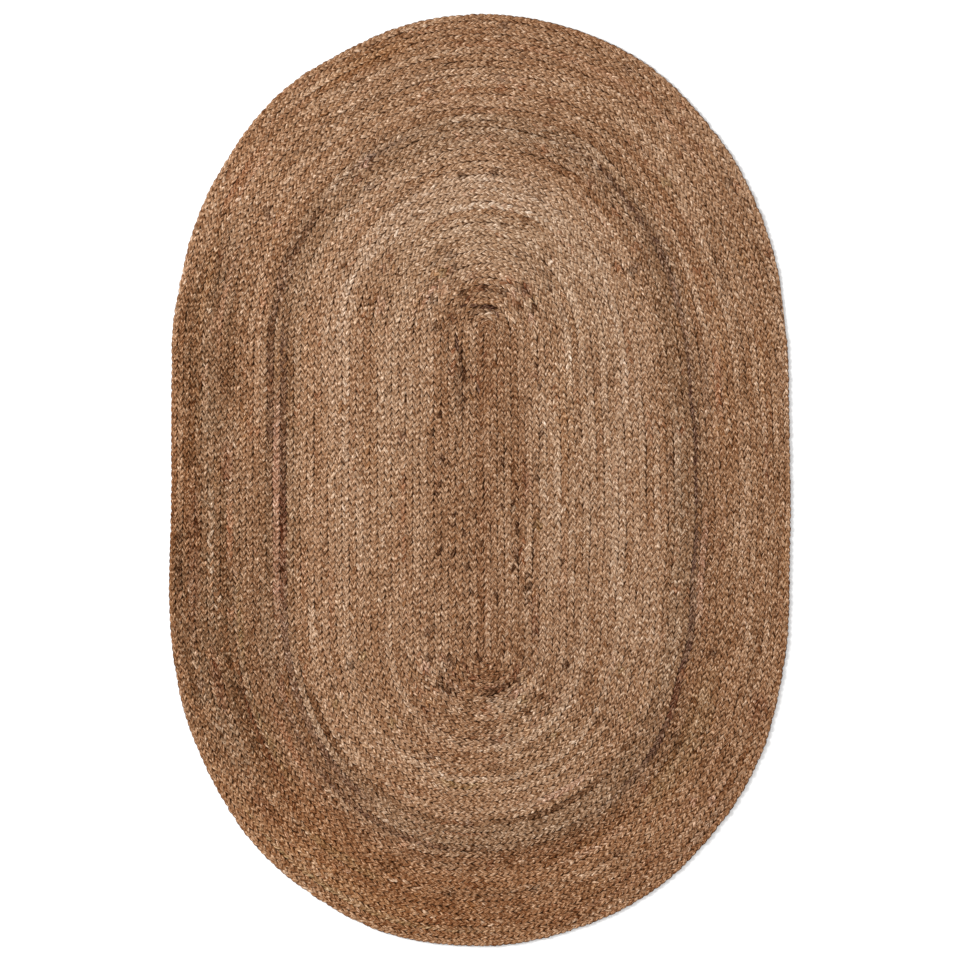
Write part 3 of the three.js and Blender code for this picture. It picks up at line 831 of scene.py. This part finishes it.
@dataclass
class Plait:
    """The three-strand plait laid along the coil."""

    lay: CoilLay
    shape: BraidShape
    seed: int = 11
    samples: int = 60000

    def __post_init__(self) -> None:
        """Measures the coil's length and settles the plait's pitch along it."""
        uneven = self.shape.uneven
        self.turns = np.linspace(self.lay.start_turn, self.lay.end_turn, self.samples)
        line = self.lay.plan(self.turns)
        steps = np.linalg.norm(np.diff(line, axis=0), axis=1)
        self.run = self.shape.lead + np.concatenate([[0.0], np.cumsum(steps)])
        self.start_heading = (line[1] - line[0]) / steps[0]
        self.knots = np.linspace(0.0, self.run[-1], self.samples)
        rng = np.random.default_rng(self.seed)
        period = self.shape.period * (1.0 + uneven.long_pitch.along(rng, self.knots))
        period *= 1.0 + uneven.short_pitch.along(rng, self.knots)
        phase = np.cumsum(FULL_TURN / period * np.gradient(self.knots))
        self.phase = phase - phase[0]
        self.wander = uneven.wander.along(rng, self.knots)
        self.centring = self.lay.centring()

    def rings(self, strand: int) -> StrandRings:
        """Rings of one strand's sweep.

        Args:
            strand: 0, 1 or 2.

        Returns:
            The strand's rings.
        """
        shape = self.shape
        uneven = shape.uneven
        halves = int(self.phase[-1] / math.pi) + 4
        half = np.repeat(np.arange(halves), len(shape.rows))
        rng = np.random.default_rng(self.seed + 1 + strand)
        jitter = rng.normal(size=(halves, 5))[half]
        row_phase = np.tile(np.radians([row.phase for row in shape.rows]), halves)
        phase = half * math.pi + row_phase - strand * FULL_TURN / STRANDS
        phase += uneven.phase * np.clip(jitter[:, 4], -uneven.phase_limit, uneven.phase_limit)
        keep = (phase >= 0.0) & (phase <= self.phase[-1])
        columns = {
            name: np.tile([getattr(row, name) for row in shape.rows], halves)[keep]
            for name in ("across", "height", "size", "lean")
        }
        half = half[keep]
        jitter = jitter[keep]
        run = np.interp(phase[keep], self.phase, self.knots)
        turn = np.interp(run, self.run, self.turns)

        inner = self.lay.plan(turn, -0.5)
        outer = self.lay.plan(turn, 0.5)
        width = np.linalg.norm(outer - inner, axis=1) / self.lay.pitch
        side = 1.0 - 2.0 * np.mod(half, 2)
        across = side * columns["across"] * (1.0 + uneven.across * jitter[:, 0])
        across += np.interp(run, self.knots, self.wander)
        outermost = turn + 0.5 > self.lay.edge_rounds(np.mod(turn, 1.0)) - shape.edge_slack
        across = np.where(outermost, np.minimum(across, shape.edge_across), across)
        plan = inner + (outer - inner) * (0.5 + 0.5 * across)[:, None] + self.centring
        plan += np.minimum(run - shape.lead, 0.0)[:, None] * self.start_heading

        swell = uneven.size * np.clip(jitter[:, 1], -uneven.size_limit, uneven.size_limit)
        size = columns["size"] * np.clip(width, shape.narrowest, shape.widest) * (1.0 + swell)
        rise = shape.rise * columns["height"] * np.minimum(width, 1.0)
        height = shape.middle + rise + uneven.height * jitter[:, 2]
        half_height = shape.half_height * size
        highest = 2 * shape.middle + shape.top_room - half_height
        height = np.clip(height, half_height + shape.floor_gap, highest)
        return StrandRings(
            place=np.column_stack([plan, height]),
            size=size,
            lean=side * columns["lean"] + uneven.lean * jitter[:, 3],
            run=run,
            turn=turn,
            reach=self.lay.reach(turn, 0.5 * across),
            lift=columns["height"],
            lobe=half,
        )


@dataclass
class YarnTones:
    """Tones of the yarn all over the rug.

    The waves and lobe_spread change the depth of the tone at random, dip_painted_shade
    deepens it as painted shade on the strands' low parts, down to least_lift,
    and a lobe takes up between none and most_taken of a lot's or patch's tone.
    """

    lay: CoilLay
    zones: tuple[ZoneRow, ...] = ZONE_ROWS
    lots: tuple[Lot, ...] = LOTS
    patches: tuple[Patch, ...] = PATCHES
    mottles: tuple[Mottle, ...] = MOTTLES
    specks: tuple[Specks, ...] = SPECKS
    fleck_tones: tuple[Tone, ...] = (Tone.CREAM, Tone.AMBER, Tone.RUST, Tone.UMBER, Tone.CLAY, Tone.WALNUT)
    fleck_spacing: float = 0.45
    fleck_length: tuple[float, float] = (0.015, 0.07)
    fleck_strength: tuple[float, float] = (0.15, 0.45)
    taken_spread: float = 0.35
    most_taken: float = 1.6
    long_wave: Wave = Wave(0.06, 0.7, -0.8)
    mid_wave: Wave = Wave(0.06, 0.16, -1.2)
    strand_wave: Wave = Wave(0.08, 0.12)
    lobe_spread: float = 0.06
    dip_painted_shade: float = 0.12
    least_lift: float = -0.2
    depths: tuple[float, float] = (0.5, 2.2)
    seed: int = 100

    def ground(self, share: np.ndarray, reach: np.ndarray) -> np.ndarray:
        """Ground tone at places of the coil.

        Args:
            share: shares of the way round, from 0 to 1.
            reach: reach at each of them.

        Returns:
            Linear light (n, 3).
        """
        at = [row.reach for row in self.zones]
        pale = np.array([row.pale.linear for row in self.zones])
        deep = np.array([row.deep.linear for row in self.zones])
        pale_share = np.interp(reach, at, [row.pale_share for row in self.zones])
        far = (0.5 + 0.5 * np.cos(FULL_TURN * (share - pale_share)))[:, None]
        pale = np.stack([np.interp(reach, at, pale[:, channel]) for channel in range(3)], axis=-1)
        deep = np.stack([np.interp(reach, at, deep[:, channel]) for channel in range(3)], axis=-1)
        return deep + far * (pale - deep)

    def marks(self, strands: list[StrandRings]) -> list[list[tuple[Specks, int]]]:
        """Finds the lobe nearest to each speck's place.

        Args:
            strands: the rings of all the strands.

        Returns:
            For each strand, its lobes that are specks, each with its group.
        """
        found: list[list[tuple[Specks, int]]] = [[] for _ in strands]
        crests = [rings.lift == rings.lift.max() for rings in strands]
        for specks, right, down in [(group, *place) for group in self.specks for place in group.places]:
            x = (right - MIDDLE_PIXEL) * PIXEL_SIZE
            y = (MIDDLE_PIXEL - down) * PIXEL_SIZE
            nearest = []
            for rings, crest in zip(strands, crests, strict=True):
                off = np.hypot(rings.place[crest, 0] - x, rings.place[crest, 1] - y)
                nearest.append((off.min(), rings.lobe[crest][off.argmin()]))
            strand = min(range(len(strands)), key=lambda index: nearest[index][0])
            found[strand].append((specks, nearest[strand][1]))
        return found

    def strand(self, rings: StrandRings, strand: int, marks: list[tuple[Specks, int]]) -> np.ndarray:
        """Tones of one strand, ring by ring.

        Args:
            rings: the strand's rings.
            strand: 0, 1 or 2.
            marks: the strand's lobes that are specks, each with its group.

        Returns:
            Linear light (n, 3).
        """
        shared = np.random.default_rng(self.seed)
        rng = np.random.default_rng(self.seed + 1 + strand)
        share = np.mod(rings.by_lobe(rings.turn), 1.0)
        reach = rings.by_lobe(rings.reach)
        tone = self.ground(share, reach)
        lobes = rings.lobe.max() + 1
        taken = 1.0 + self.taken_spread * rng.normal(size=lobes)
        taken = np.clip(taken, 0.0, self.most_taken)[rings.lobe]
        for lot in self.lots:
            tone = self.blend(tone, lot.tone, lot.strength * taken * lot.inside(rings.turn))
        for patch in self.patches:
            tone = self.blend(tone, patch.tone, patch.strength * taken * patch.inside(share, reach))
        lobe_x = rings.by_lobe(rings.place[:, 0])
        lobe_y = rings.by_lobe(rings.place[:, 1])
        for mottle in self.mottles:
            shares, reaches = np.array(mottle.places).T
            for x, y in self.lay.point(shares, reaches) + self.lay.centring():
                inside = mottle.inside(np.hypot(lobe_x - x, lobe_y - y))
                tone = self.blend(tone, mottle.tone, mottle.strength * inside)
        for specks, lobe in marks:
            tone = self.blend(tone, specks.tone, specks.strength * (rings.lobe == lobe))
        for start in np.arange(0.0, rings.run[-1], self.fleck_spacing):
            first = start + rng.uniform(0.0, self.fleck_spacing)
            last = first + rng.uniform(*self.fleck_length)
            inside = (rings.run > first) & (rings.run < last)
            fleck = self.fleck_tones[rng.integers(len(self.fleck_tones))]
            tone = self.blend(tone, fleck, rng.uniform(*self.fleck_strength) * inside)
        depth = 1.0 + self.long_wave.along(shared, rings.run) + self.mid_wave.along(shared, rings.run)
        depth += self.strand_wave.along(rng, rings.run)
        depth += self.lobe_spread * rng.normal(size=lobes)[rings.lobe]
        # Painted shade: the tone is deepened where the strand dips low between lobes.
        depth += self.dip_painted_shade * (1.0 - np.maximum(rings.lift, self.least_lift))
        return tone ** np.clip(depth, *self.depths)[:, None]

    def blend(self, tone: np.ndarray, other: Tone, share: np.ndarray) -> np.ndarray:
        """Tones turned towards another by a share at each place."""
        return tone + np.clip(share, 0.0, 1.0)[:, None] * (other.linear - tone)


@dataclass(frozen=True)
class JuteFinish:
    """Matte jute fibre: the yarn's tone with its painted shade, streaked along the strand.

    It reads two attributes of the piece: tone, the yarn's colour with painted
    shade low on the strands, and fibre, the place along the strand and on its
    section, in metres. That painted shade makes tone dark low on the strands,
    where they meet, and underside_depth takes the painted shade back on
    faces that look down: in full up to the first of underside_rise, the
    upward part of their normal, and not at all past the second.
    """

    name: str = "jute_fibre"
    roughness: float = 0.85
    shine: float = 0.02
    streaks_along: float = 170.0
    streaks_across: float = 480.0
    streak_depth: float = 0.46
    streak_light: float = 0.44
    noise_detail: float = 2.0
    noise_roughness: float = 0.6
    noise_middle: tuple[float, float] = (0.3, 0.7)
    bump_strength: float = 0.6
    bump_height: float = 0.0008
    underside_depth: float = 0.42
    underside_rise: tuple[float, float] = (-0.7, -0.4)

    def build(self) -> bpy.types.Material:
        """Makes the material.

        Returns:
            The material, to be shared by the strands and the ground.
        """
        material = bpy.data.materials.new(self.name)
        material.use_nodes = True
        nodes = material.node_tree.nodes
        links = material.node_tree.links
        shader = nodes["Principled BSDF"]
        shader.inputs["Roughness"].default_value = self.roughness
        shader.inputs["Specular IOR Level"].default_value = self.shine
        # The tone attribute holds the yarn's colour together with painted shade low on the strands.
        tone = nodes.new("ShaderNodeAttribute")
        tone.attribute_name = "tone"
        fibre = nodes.new("ShaderNodeAttribute")
        fibre.attribute_name = "fibre"

        scale = nodes.new("ShaderNodeVectorMath")
        scale.operation = "MULTIPLY"
        scale.inputs[1].default_value = (self.streaks_along, self.streaks_across, self.streaks_across)
        links.new(fibre.outputs["Vector"], scale.inputs[0])
        noise = nodes.new("ShaderNodeTexNoise")
        noise.inputs["Scale"].default_value = 1.0
        noise.inputs["Detail"].default_value = self.noise_detail
        noise.inputs["Roughness"].default_value = self.noise_roughness
        links.new(scale.outputs["Vector"], noise.inputs["Vector"])

        depth = self.spread(nodes, self.noise_middle, (1.0 + self.streak_depth, 1.0 - self.streak_depth))
        links.new(noise.outputs["Fac"], depth.inputs["Value"])
        # Faces that look down take back the painted shade held in the tone attribute.
        facing = nodes.new("ShaderNodeNewGeometry")
        upright = nodes.new("ShaderNodeSeparateXYZ")
        links.new(facing.outputs["True Normal"], upright.inputs["Vector"])
        side = self.spread(nodes, self.underside_rise, (self.underside_depth, 1.0))
        links.new(upright.outputs["Z"], side.inputs["Value"])
        power = nodes.new("ShaderNodeMath")
        power.operation = "MULTIPLY"
        links.new(depth.outputs["Result"], power.inputs[0])
        links.new(side.outputs["Result"], power.inputs[1])
        gamma = nodes.new("ShaderNodeGamma")
        links.new(tone.outputs["Color"], gamma.inputs["Color"])
        links.new(power.outputs["Value"], gamma.inputs["Gamma"])
        light = self.spread(nodes, self.noise_middle, (1.0 - self.streak_light, 1.0 + self.streak_light))
        links.new(noise.outputs["Fac"], light.inputs["Value"])
        gain = nodes.new("ShaderNodeVectorMath")
        gain.operation = "SCALE"
        links.new(gamma.outputs["Color"], gain.inputs[0])
        links.new(light.outputs["Result"], gain.inputs["Scale"])
        links.new(gain.outputs["Vector"], shader.inputs["Base Color"])

        bump = nodes.new("ShaderNodeBump")
        bump.inputs["Strength"].default_value = self.bump_strength
        bump.inputs["Distance"].default_value = self.bump_height
        links.new(noise.outputs["Fac"], bump.inputs["Height"])
        links.new(bump.outputs["Normal"], shader.inputs["Normal"])
        return material

    def spread(
        self, nodes: bpy.types.Nodes, source: tuple[float, float], target: tuple[float, float]
    ) -> bpy.types.Node:
        """Adds a node that maps one range of values to another.

        Args:
            nodes: the material's nodes.
            source: the range that comes in.
            target: the range that goes out.

        Returns:
            The node.
        """
        node = nodes.new("ShaderNodeMapRange")
        node.inputs["From Min"].default_value, node.inputs["From Max"].default_value = source
        node.inputs["To Min"].default_value, node.inputs["To Max"].default_value = target
        return node


@dataclass
class Strands:
    """The plait's three strands as swept lengths."""

    plait: Plait
    tones: YarnTones
    finish: bpy.types.Material
    pieces: list[bpy.types.Object] = field(default_factory=list)

    @property
    def sides(self) -> int:
        """Points of the strand's section."""
        return len(self.plait.shape.section)

    def section(self) -> bpy.types.Object:
        """Makes the profile that is swept.

        Returns:
            A closed flat curve with the strand's flattened section.
        """
        curve = bpy.data.curves.new("strand_section", "CURVE")
        curve.dimensions = "2D"
        spline = curve.splines.new("POLY")
        spline.points.add(self.sides - 1)
        shape = self.plait.shape
        for point, (x, y) in zip(spline.points, shape.section, strict=True):
            point.co = (x * shape.strand_width, y * shape.strand_thickness, 0.0, 1.0)
        spline.use_cyclic_u = True
        holder = bpy.data.objects.new("strand_section", curve)
        bpy.context.scene.collection.objects.link(holder)
        return holder

    def sweep(self, name: str, rings: StrandRings, section: bpy.types.Object) -> bpy.types.Object:
        """Sweeps the section along one strand.

        Args:
            name: name of the piece.
            rings: the strand's rings.
            section: the profile.

        Returns:
            The strand as a closed mesh.
        """
        count = len(rings.run)
        curve = bpy.data.curves.new(name + "_line", "CURVE")
        curve.dimensions = "3D"
        curve.twist_mode = "Z_UP"
        curve.bevel_mode = "OBJECT"
        curve.bevel_object = section
        spline = curve.splines.new("POLY")
        spline.points.add(count - 1)
        place = np.column_stack([rings.place, np.ones(count)])
        spline.points.foreach_set("co", place.ravel())
        spline.points.foreach_set("radius", rings.size)
        spline.points.foreach_set("tilt", rings.lean)
        spline.use_smooth = True
        holder = bpy.data.objects.new(name + "_line", curve)
        bpy.context.scene.collection.objects.link(holder)
        graph = bpy.context.evaluated_depsgraph_get()
        mesh = bpy.data.meshes.new_from_object(holder.evaluated_get(graph))
        mesh.name = name
        bpy.data.objects.remove(holder)
        piece = bpy.data.objects.new(name, mesh)
        bpy.context.scene.collection.objects.link(piece)
        self.close_ends(mesh)
        mesh.materials.clear()
        mesh.materials.append(self.finish)
        return piece

    def close_ends(self, mesh: bpy.types.Mesh) -> None:
        """Closes the open ring at each end of a swept strand."""
        bm = bmesh.new()
        bm.from_mesh(mesh)
        rims = [edge for edge in bm.edges if edge.is_boundary]
        bmesh.ops.holes_fill(bm, edges=rims, sides=self.sides)
        bm.to_mesh(mesh)
        bm.free()

    def paint(self, piece: bpy.types.Object, rings: StrandRings, tone: np.ndarray) -> None:
        """Gives a strand its tone, with painted shade on its low sides, and its fibre places, ring by
        ring.

        Args:
            piece: the swept strand.
            rings: its rings.
            tone: linear light at each ring.
        """
        shape = self.plait.shape
        section = np.array(shape.section)
        # Painted shade: the section's low points take the tone to a higher power, darker and deeper, as
        # shade in the gaps where the strands meet.
        shade = np.where(section[:, 1] < 0.0, 1.0 + shape.shoulder_painted_shade, 1.0)
        colour = np.ones((len(tone), self.sides, 4))
        colour[:, :, :3] = tone[:, None] ** shade[None, :, None]
        attribute = piece.data.attributes.new("tone", "FLOAT_COLOR", "POINT")
        attribute.data.foreach_set("color", colour.ravel())
        section = section * (shape.strand_width, shape.strand_thickness)
        fibre = np.empty((len(tone), self.sides, 3))
        fibre[:, :, 0] = rings.run[:, None]
        fibre[:, :, 1:] = section[None] * rings.size[:, None, None]
        attribute = piece.data.attributes.new("fibre", "FLOAT_VECTOR", "POINT")
        attribute.data.foreach_set("vector", fibre.ravel())

    def build(self) -> None:
        """Makes the strand pieces, each strand in an inner and an outer length."""
        section = self.section()
        strands = [self.plait.rings(strand) for strand in range(STRANDS)]
        marks = self.tones.marks(strands)
        for strand, rings in enumerate(strands):
            tone = self.tones.strand(rings, strand, marks[strand])
            count = len(rings.run)
            half = count // 2
            for label, first, last in (("inner", 0, half + 1), ("outer", half, count)):
                name = f"strand_{'abc'[strand]}_{label}"
                part = rings.part(first, last)
                piece = self.sweep(name, part, section)
                self.paint(piece, part, tone[first:last])
                self.pieces.append(piece)
                log.info("%s: %d rings, %d faces", name, last - first, len(piece.data.polygons))
        bpy.data.objects.remove(section)


@dataclass
class GapShadePlate:
    """A thin plate under the strands, coloured dark earth as painted shade seen in the gaps between them.
    """

    lay: CoilLay
    finish: bpy.types.Material
    low: float = 0.0028
    high: float = 0.0036
    margin: float = 0.005
    segments: int = 240

    def build(self) -> bpy.types.Object:
        """Makes the plate, a little inside the rug's edge.

        Returns:
            The plate.
        """
        outline = self.lay.outline(self.segments) + self.lay.centring()
        bm = bmesh.new()
        ring = bmesh.ops.create_circle(bm, cap_ends=True, segments=self.segments, radius=1.0)["verts"]
        ring.sort(key=lambda v: math.atan2(v.co.x, v.co.y) % FULL_TURN)
        for vert, (x, y) in zip(ring, outline, strict=True):
            inward = Vector((x, y)).normalized() * self.margin
            vert.co = (x - inward.x, y - inward.y, self.low)
        side = bmesh.ops.extrude_face_region(bm, geom=list(bm.faces))
        top = [e for e in side["geom"] if isinstance(e, bmesh.types.BMVert)]
        bmesh.ops.translate(bm, verts=top, vec=(0.0, 0.0, self.high - self.low))
        bmesh.ops.recalc_face_normals(bm, faces=list(bm.faces))
        mesh = bpy.data.meshes.new("sewn_ground")
        bm.to_mesh(mesh)
        bm.free()
        mesh.materials.append(self.finish)
        # Painted shade: the plate takes the dark EARTH tone so the gaps between the strands read as shade.
        colour = np.ones((len(mesh.vertices), 4))
        colour[:, :3] = Tone.EARTH.linear
        attribute = mesh.attributes.new("tone", "FLOAT_COLOR", "POINT")
        attribute.data.foreach_set("color", colour.ravel())
        piece = bpy.data.objects.new("sewn_ground", mesh)
        bpy.context.scene.collection.objects.link(piece)
        return piece


@dataclass(frozen=True)
class Studio:
    """Plain pale floor, soft light, and a camera straight above the rug."""

    frame_width: float = FRAME_WIDTH
    lens: float = 100.0
    sensor: float = 36.0
    floor_half: float = 6.0
    floor_tone: float = 0.95
    floor_roughness: float = 0.8
    key_place: tuple[float, float, float] = (-3.6, 1.2, 3.2)
    key_size: float = 2.0
    key_power: float = 220.0
    air_strength: float = 0.85

    def build(self) -> None:
        """Makes the floor, the lights and the camera."""
        bm = bmesh.new()
        bmesh.ops.create_grid(bm, x_segments=1, y_segments=1, size=self.floor_half)
        mesh = bpy.data.meshes.new("floor")
        bm.to_mesh(mesh)
        bm.free()
        floor = bpy.data.objects.new("floor", mesh)
        bpy.context.scene.collection.objects.link(floor)
        material = bpy.data.materials.new("floor_paint")
        material.use_nodes = True
        shader = material.node_tree.nodes["Principled BSDF"]
        shader.inputs["Base Color"].default_value = (*[self.floor_tone] * 3, 1.0)
        shader.inputs["Roughness"].default_value = self.floor_roughness
        mesh.materials.append(material)

        self.light()
        world = bpy.data.worlds.new("studio_air")
        world.use_nodes = True
        world.node_tree.nodes["Background"].inputs["Color"].default_value = (1.0, 1.0, 1.0, 1.0)
        world.node_tree.nodes["Background"].inputs["Strength"].default_value = self.air_strength
        bpy.context.scene.world = world

        camera_data = bpy.data.cameras.new("camera")
        camera_data.lens = self.lens
        camera_data.sensor_width = self.sensor
        camera = bpy.data.objects.new("camera", camera_data)
        camera.location = (0.0, 0.0, self.frame_width * self.lens / self.sensor)
        bpy.context.scene.collection.objects.link(camera)
        bpy.context.scene.camera = camera
        bpy.context.scene.view_settings.view_transform = "Standard"

    def light(self) -> None:
        """Adds the soft key light, aimed at the rug's middle."""
        data = bpy.data.lights.new("key", "AREA")
        data.shape = "DISK"
        data.size = self.key_size
        data.energy = self.key_power
        light = bpy.data.objects.new("key", data)
        light.location = self.key_place
        light.rotation_euler = (-Vector(self.key_place)).to_track_quat("-Z", "Y").to_euler()
        bpy.context.scene.collection.objects.link(light)


def main() -> None:
    """Builds the rug and its studio."""
    logging.basicConfig(level=logging.INFO, format="%(name)s: %(message)s")
    Studio().build()
    lay = CoilLay()
    plait = Plait(lay, BraidShape())
    log.info("braid length %.1f m", plait.run[-1])
    finish = JuteFinish().build()
    strands = Strands(plait, YarnTones(lay), finish)
    strands.build()
    ground = GapShadePlate(lay, finish).build()
    for piece in [ground, *strands.pieces]:
        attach(piece, BODY)
        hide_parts(COIL_NODE)


if __name__ == "__main__":
    main()
